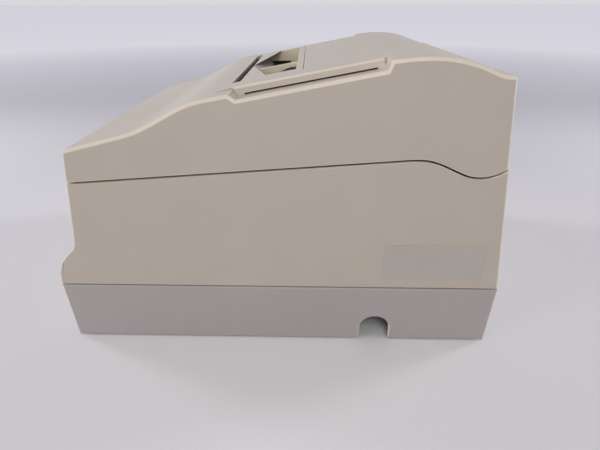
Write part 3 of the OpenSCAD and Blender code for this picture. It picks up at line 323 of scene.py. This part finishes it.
def light_pipe_material():
    material, tree, shader, place = start_material("light_pipe", 0.18)
    shader.inputs["Transmission Weight"].default_value = 0.55
    tint = use_group(
        tree, "aged_colour", Vector=place, Color=rgb(150, 190, 140), Aged=rgb(190, 214, 170),
        Scale=400.0, Amount=0.6)
    tree.tree.links.new(tint["Color"], shader.inputs["Base Color"])
    return material


def label_material():
    material, tree, shader, place = start_material("bare_label", 0.42)
    tint = use_group(
        tree, "aged_colour", Vector=place, Color=rgb(182, 176, 166), Aged=rgb(174, 167, 157),
        Scale=40.0, Amount=0.6)
    tree.tree.links.new(tint["Color"], shader.inputs["Base Color"])
    bump(tree, shader, use_group(tree, "mould_grain", Vector=place, Scale=2600.0)["Height"], 0.12, 0.00003)
    return material


make_groups()
finish_of = {
    "case_plastic": case_material(
        "case_plastic", rgb(188, 179, 166), rgb(183, 172, 157), rgb(128, 112, 92)),
    # A lighter copy of the case plastic for the rounded edges: a painted highlight
    "highlight_edge_plastic": case_material(
        "highlight_edge_plastic", rgb(221, 211, 194), rgb(212, 200, 180), rgb(170, 155, 132)),
    # Darker and cooler than the case plastic: partly the base's own colour, partly a painted reflection of
    # a bluish floor
    "base_plastic": case_material(
        "base_plastic", rgb(171, 165, 163), rgb(166, 159, 155), rgb(118, 106, 92)),
    # A creamier copy of the case plastic for the exit's upright walls: a painted highlight
    "exit_wall_highlight_plastic": case_material(
        "exit_wall_highlight_plastic", rgb(219, 209, 184), rgb(210, 198, 172), rgb(150, 134, 106)),
    "panel_plastic": plastic_material("panel_plastic", rgb(150, 146, 138), 0.45),
    "label": label_material(),
    "light_pipe": light_pipe_material(),
    "grey_plastic": plastic_material("grey_plastic", rgb(112, 110, 108), 0.48),
    "dark_plastic": plastic_material("dark_plastic", rgb(44, 44, 46), 0.42),
    "grey_inner_plastic": plastic_material("grey_inner_plastic", rgb(84, 84, 86), 0.5),
    "green_plastic": plastic_material("green_plastic", rgb(54, 112, 82), 0.4),
    "white_plastic": plastic_material("white_plastic", rgb(205, 202, 192), 0.42, uneven=0.1),
    "board": board_material(),
    "rubber": plastic_material("rubber", rgb(34, 34, 35), 0.8, grain=900.0, depth=0.0001),
    "ribbon_fabric": fabric_material(),
    "bright_steel": metal_material("bright_steel", rgb(196, 196, 198), 0.26, (1.0, 0.03, 1.0)),
    "zinc_sheet": metal_material("zinc_sheet", rgb(178, 180, 184), 0.38, (1.0, 0.05, 1.0), 900.0, 0.5),
    "motor_case": plastic_material("motor_case", rgb(38, 38, 40), 0.35, grain=700.0),
}
slot_of = {part["node"]: part["material_slot"] for part in frame["record"]["subparts"]}


def paint_nodes():
    for name, thing in nodes.items():
        for material_slot in thing.material_slots:
            material_slot.material = finish_of[slot_of[name]]


# ---- Pieces made from the frame's shells ----
# Millimetres, in the frame's axes: where the end and side walls stand on the base band, and how they lean
FRONT_FOOT, REAR_FOOT, HALF_FOOT = -116.7, 126.7, 94.5
FRONT_SLOPE, REAR_SLOPE = 0.1228, 0.1263
SIDE_SLOPE = math.tan(math.radians(4.06))
BAND_TOP, BAND_END = 39.6, 126
LIP_TOP, LIP_BACK = 66, -113
BLOCK_LOW, BLOCK_REAR, BLOCK_HALF, COVER_HALF, EXIT_LOW = 140, 51, 73, 92, 142
# Widths of the rounded edges
BIG_ROUND, CORNER_ROUND, BASE_ROUND, SMALL_ROUND = 1.6, 0.9, 0.8, 0.45
BLOCK_ROUND, SLOT_ROUND, EXIT_ROUND = 1.2, 0.4, 0.35
# A point this near a wall is on it
ON_SIDE, ON_END = 0.4, 0.5


def pick(piece):
    bpy.ops.object.select_all(action="DESELECT")
    piece.select_set(True)
    bpy.context.view_layer.objects.active = piece


def copy_of(node, name, cuts=()):
    """A merged copy of a node's mesh. Its flat faces are whole but for cuts, each an axis and a place."""
    piece = bpy.data.objects.new(name, nodes[node].data.copy())
    bpy.context.scene.collection.objects.link(piece)
    pick(piece)
    piece.data.materials.clear()
    piece.data.materials.append(finish_of[slot_of[node]])
    bpy.ops.object.mode_set(mode="EDIT")
    bpy.ops.mesh.select_all(action="SELECT")
    bpy.ops.mesh.remove_doubles(threshold=0.000002)
    # A cut keeps a flat ring or a face with holes from being joined by slanting edges
    for axis, place in cuts:
        normal = Vector([float(axis == letter) for letter in "xyz"])
        bpy.ops.mesh.select_all(action="SELECT")
        bpy.ops.mesh.bisect(plane_co=normal * place * MM, plane_no=normal, threshold=0.000001)
        bpy.ops.mesh.mark_seam()
    bpy.ops.mesh.select_all(action="SELECT")
    bpy.ops.mesh.dissolve_limited(
        angle_limit=math.radians(0.3), use_dissolve_boundaries=False, delimit={"SEAM"})
    bpy.ops.mesh.select_all(action="DESELECT")
    bpy.ops.object.mode_set(mode="OBJECT")
    return piece


def edge_facts(mesh):
    """For each edge: its middle in mm, its two faces' normals, whether it stands out, and its angle."""
    faces_of = {}
    for polygon in mesh.polygons:
        for key in polygon.edge_keys:
            faces_of.setdefault(key, []).append(polygon)
    facts = []
    for edge in mesh.edges:
        pair = faces_of.get(edge.key, [])
        if len(pair) != 2:
            facts.append(None)
            continue
        first, second = pair
        ends = [mesh.vertices[index].co for index in edge.vertices]
        middle = (ends[0] + ends[1]) / 2
        along = ends[1] - ends[0]
        # The face that runs along the edge in its own order tells which way the edge turns
        loop = list(first.vertices)
        at = loop.index(edge.vertices[0])
        if loop[(at + 1) % len(loop)] != edge.vertices[1]:
            along = -along
        convex = first.normal.cross(second.normal).dot(along) > 0
        bend = first.normal.angle(second.normal, 0.0)
        facts.append((middle / MM, first.normal, second.normal, convex, bend))
    return facts


def apply_modifier(piece, kind, **settings):
    pick(piece)
    modifier = piece.modifiers.new(kind.lower(), kind)
    for key, value in settings.items():
        setattr(modifier, key, value)
    bpy.ops.object.modifier_apply(modifier=modifier.name)


def round_edges(piece, width_at):
    """Rounds the standing edges by the width in mm that width_at(middle, normal, other normal) gives."""
    widths = [
        width_at(*fact[:3]) if fact and fact[3] and fact[4] > math.radians(24) else 0
        for fact in edge_facts(piece.data)]
    widest = max(widths)
    weights = piece.data.attributes.new("bevel_weight_edge", "FLOAT", "EDGE")
    for index, width in enumerate(widths):
        weights.data[index].value = width / widest
    # The rounded faces take the second finish, a painted highlight
    apply_modifier(
        piece, "BEVEL", limit_method="WEIGHT", width=widest * MM, segments=3, use_clamp_overlap=False,
        loop_slide=False, material=1, miter_outer="MITER_ARC")


def finish_piece(piece, node, body):
    pick(piece)
    bpy.ops.object.shade_smooth_by_angle(angle=math.radians(32), keep_sharp_edges=False)
    apply_modifier(piece, "WEIGHTED_NORMAL", keep_sharp=True)
    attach(piece, body)
    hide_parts(node)


def on_side_wall(middle):
    half_width = HALF_FOOT - max(0, middle.z - BAND_TOP) * SIDE_SLOPE
    return abs(abs(middle.y) - half_width) < ON_SIDE


def on_end_wall(middle):
    height = middle.z - BAND_TOP
    if height < ON_END:
        return abs(middle.x) > BAND_END
    if middle.x < 0:
        on_lip = middle.z < LIP_TOP and middle.x < LIP_BACK
        return on_lip or abs(middle.x - FRONT_FOOT - height * FRONT_SLOPE) < ON_END
    return abs(middle.x - REAR_FOOT + height * REAR_SLOPE) < ON_END


def case_width_at(middle, first, second):
    """Rounding of the case's outer edges."""
    sides = [normal for normal in (first, second) if abs(normal.y) > 0.9 and normal.y * middle.y > 0]
    ends = [normal for normal in (first, second) if abs(normal.x) > 0.9 and abs(middle.x) > 100]
    if sides and ends:
        return CORNER_ROUND if on_side_wall(middle) and on_end_wall(middle) else 0
    if sides:
        other = second if sides[0] is first else first
        if not on_side_wall(middle) or abs(other.y) > 0.4:
            return 0
        return SMALL_ROUND if middle.z > BAND_TOP + 0.2 else BASE_ROUND
    if ends:
        other = second if ends[0] is first else first
        return SMALL_ROUND if on_end_wall(middle) and abs(other.x) <= 0.95 else 0
    return 0


def cover_width_at(middle, first, second):
    """Rounding of the cover: its outer edges, the block, the pocket and the slot."""
    width = case_width_at(middle, first, second)
    upward = max(first.z, second.z)
    leaning = max(abs(first.y), abs(second.y))
    if width:
        if upward <= 0.15:
            return width
        over_side = min(abs(first.x), abs(second.x)) < 0.9 and leaning > 0.9
        return BIG_ROUND if over_side else CORNER_ROUND
    if middle.z < BLOCK_LOW or middle.x > BLOCK_REAR or upward <= 0.9:
        return 0
    if 0.3 < leaning < 0.9 and abs(abs(middle.y) - BLOCK_HALF) < 0.5:
        return BLOCK_ROUND
    return SLOT_ROUND if leaning < 0.1 and abs(middle.y) < COVER_HALF else 0


def bezel_width_at(middle, first, second):
    """Rounding of the exit's upper edges."""
    return EXIT_ROUND if max(first.z, second.z) > 0.8 and middle.z > EXIT_LOW else 0


def make_shells():
    across, rear, along, low, high = ("x", -5), ("x", 90), ("y", 3), ("z", 57), ("z", 82)
    for node, name, body, width_at, cuts in (
            ("bottom_case", "base_moulding", "root", case_width_at, (across, along)),
            ("lower_case", "lower_moulding", "root", case_width_at, (across, along, low, high)),
            ("top_cover", "cover_moulding", "top_cover", cover_width_at, (across, rear, along)),
            ("exit_bezel", "exit_moulding", "top_cover", bezel_width_at, (along, across))):
        piece = copy_of(node, name, cuts)
        # The base moulding takes the darker, cooler plastic, partly a painted reflection of the floor
        if node == "bottom_case":
            piece.data.materials[0] = finish_of["base_plastic"]
        # The second finish is a painted highlight on the rounded edges, the third a painted highlight on
        # the exit's upright walls
        piece.data.materials.append(finish_of["highlight_edge_plastic"])
        round_edges(piece, width_at)
        if node == "exit_bezel":
            piece.data.materials.append(finish_of["exit_wall_highlight_plastic"])
        for polygon in piece.data.polygons:
            # The exit's upright faces take the painted highlight finish
            if node == "exit_bezel" and abs(polygon.normal.z) < 0.6:
                polygon.material_index = 2
            # The base and lower mouldings keep the painted edge highlight only where the rounding turns
            # toward the ends
            elif body == "root" and polygon.material_index == 1 and abs(polygon.normal.x) < 0.25:
                polygon.material_index = 0
        finish_piece(piece, node, body)


# ---- Smaller pieces with softened edges ----
def soften(node, name, body, width):
    """A copy of a node whose standing edges are eased by width in mm, but not beside thin stretches."""
    piece = copy_of(node, name)
    mesh = piece.data
    around = {}
    for edge in mesh.edges:
        for index in edge.vertices:
            around.setdefault(index, []).append(edge)
    facts = edge_facts(mesh)
    weights = mesh.attributes.new("bevel_weight_edge", "FLOAT", "EDGE")
    for edge, fact in zip(mesh.edges, facts):
        if not fact or not fact[3] or fact[4] < math.radians(40):
            continue
        start, end = (mesh.vertices[index].co for index in edge.vertices)
        along = end - start
        shortest = along.length
        narrowest = math.pi
        for index in edge.vertices:
            for other in around[index]:
                if other is edge:
                    continue
                far_index = other.vertices[0] if other.vertices[1] == index else other.vertices[1]
                away = mesh.vertices[far_index].co - mesh.vertices[index].co
                own = along if edge.vertices[0] == index else -along
                narrowest = min(narrowest, own.angle(away, math.pi))
                shortest = min(shortest, away.length)
        if shortest > 2.2 * width * MM and narrowest > math.radians(35):
            weights.data[edge.index].value = 1.0
    apply_modifier(piece, "BEVEL", limit_method="WEIGHT", width=width * MM, segments=2)
    finish_piece(piece, node, body)


def make_softened():
    bodies = frame["record"]["behaviour"]["bodies"]
    body_of = {node: body for body, members in bodies.items() for node in members}
    for node, name, width in (
            ("control_panel", "front_panel", 0.5), ("feed_button", "feed_key", 0.8),
            ("power_rocker", "rocker_key", 0.6), ("ribbon_cassette", "cassette_box", 0.8),
            ("ribbon_knob", "cassette_knob", 0.5), ("print_head", "head_body", 0.4),
            ("carriage", "head_carriage", 0.5), ("near_end_lever", "roll_lever", 0.4),
            ("release_lever", "release_key", 0.5),
            ("roll_hopper", "roll_cradle", 0.5), ("feed_knob", "paper_knob", 0.5),
            ("rubber_feet", "foot_pads", 0.6), ("board_components", "board_parts", 0.3),
            ("chassis_tray", "tray_sheet", 0.4), ("near_side_plate", "near_plate", 0.3),
            ("far_side_plate", "far_plate", 0.3), ("platen", "platen_bar", 0.3)):
        soften(node, name, body_of[node], width)


add_camera()
add_floor()
add_light()
paint_nodes()
make_shells()
make_softened()
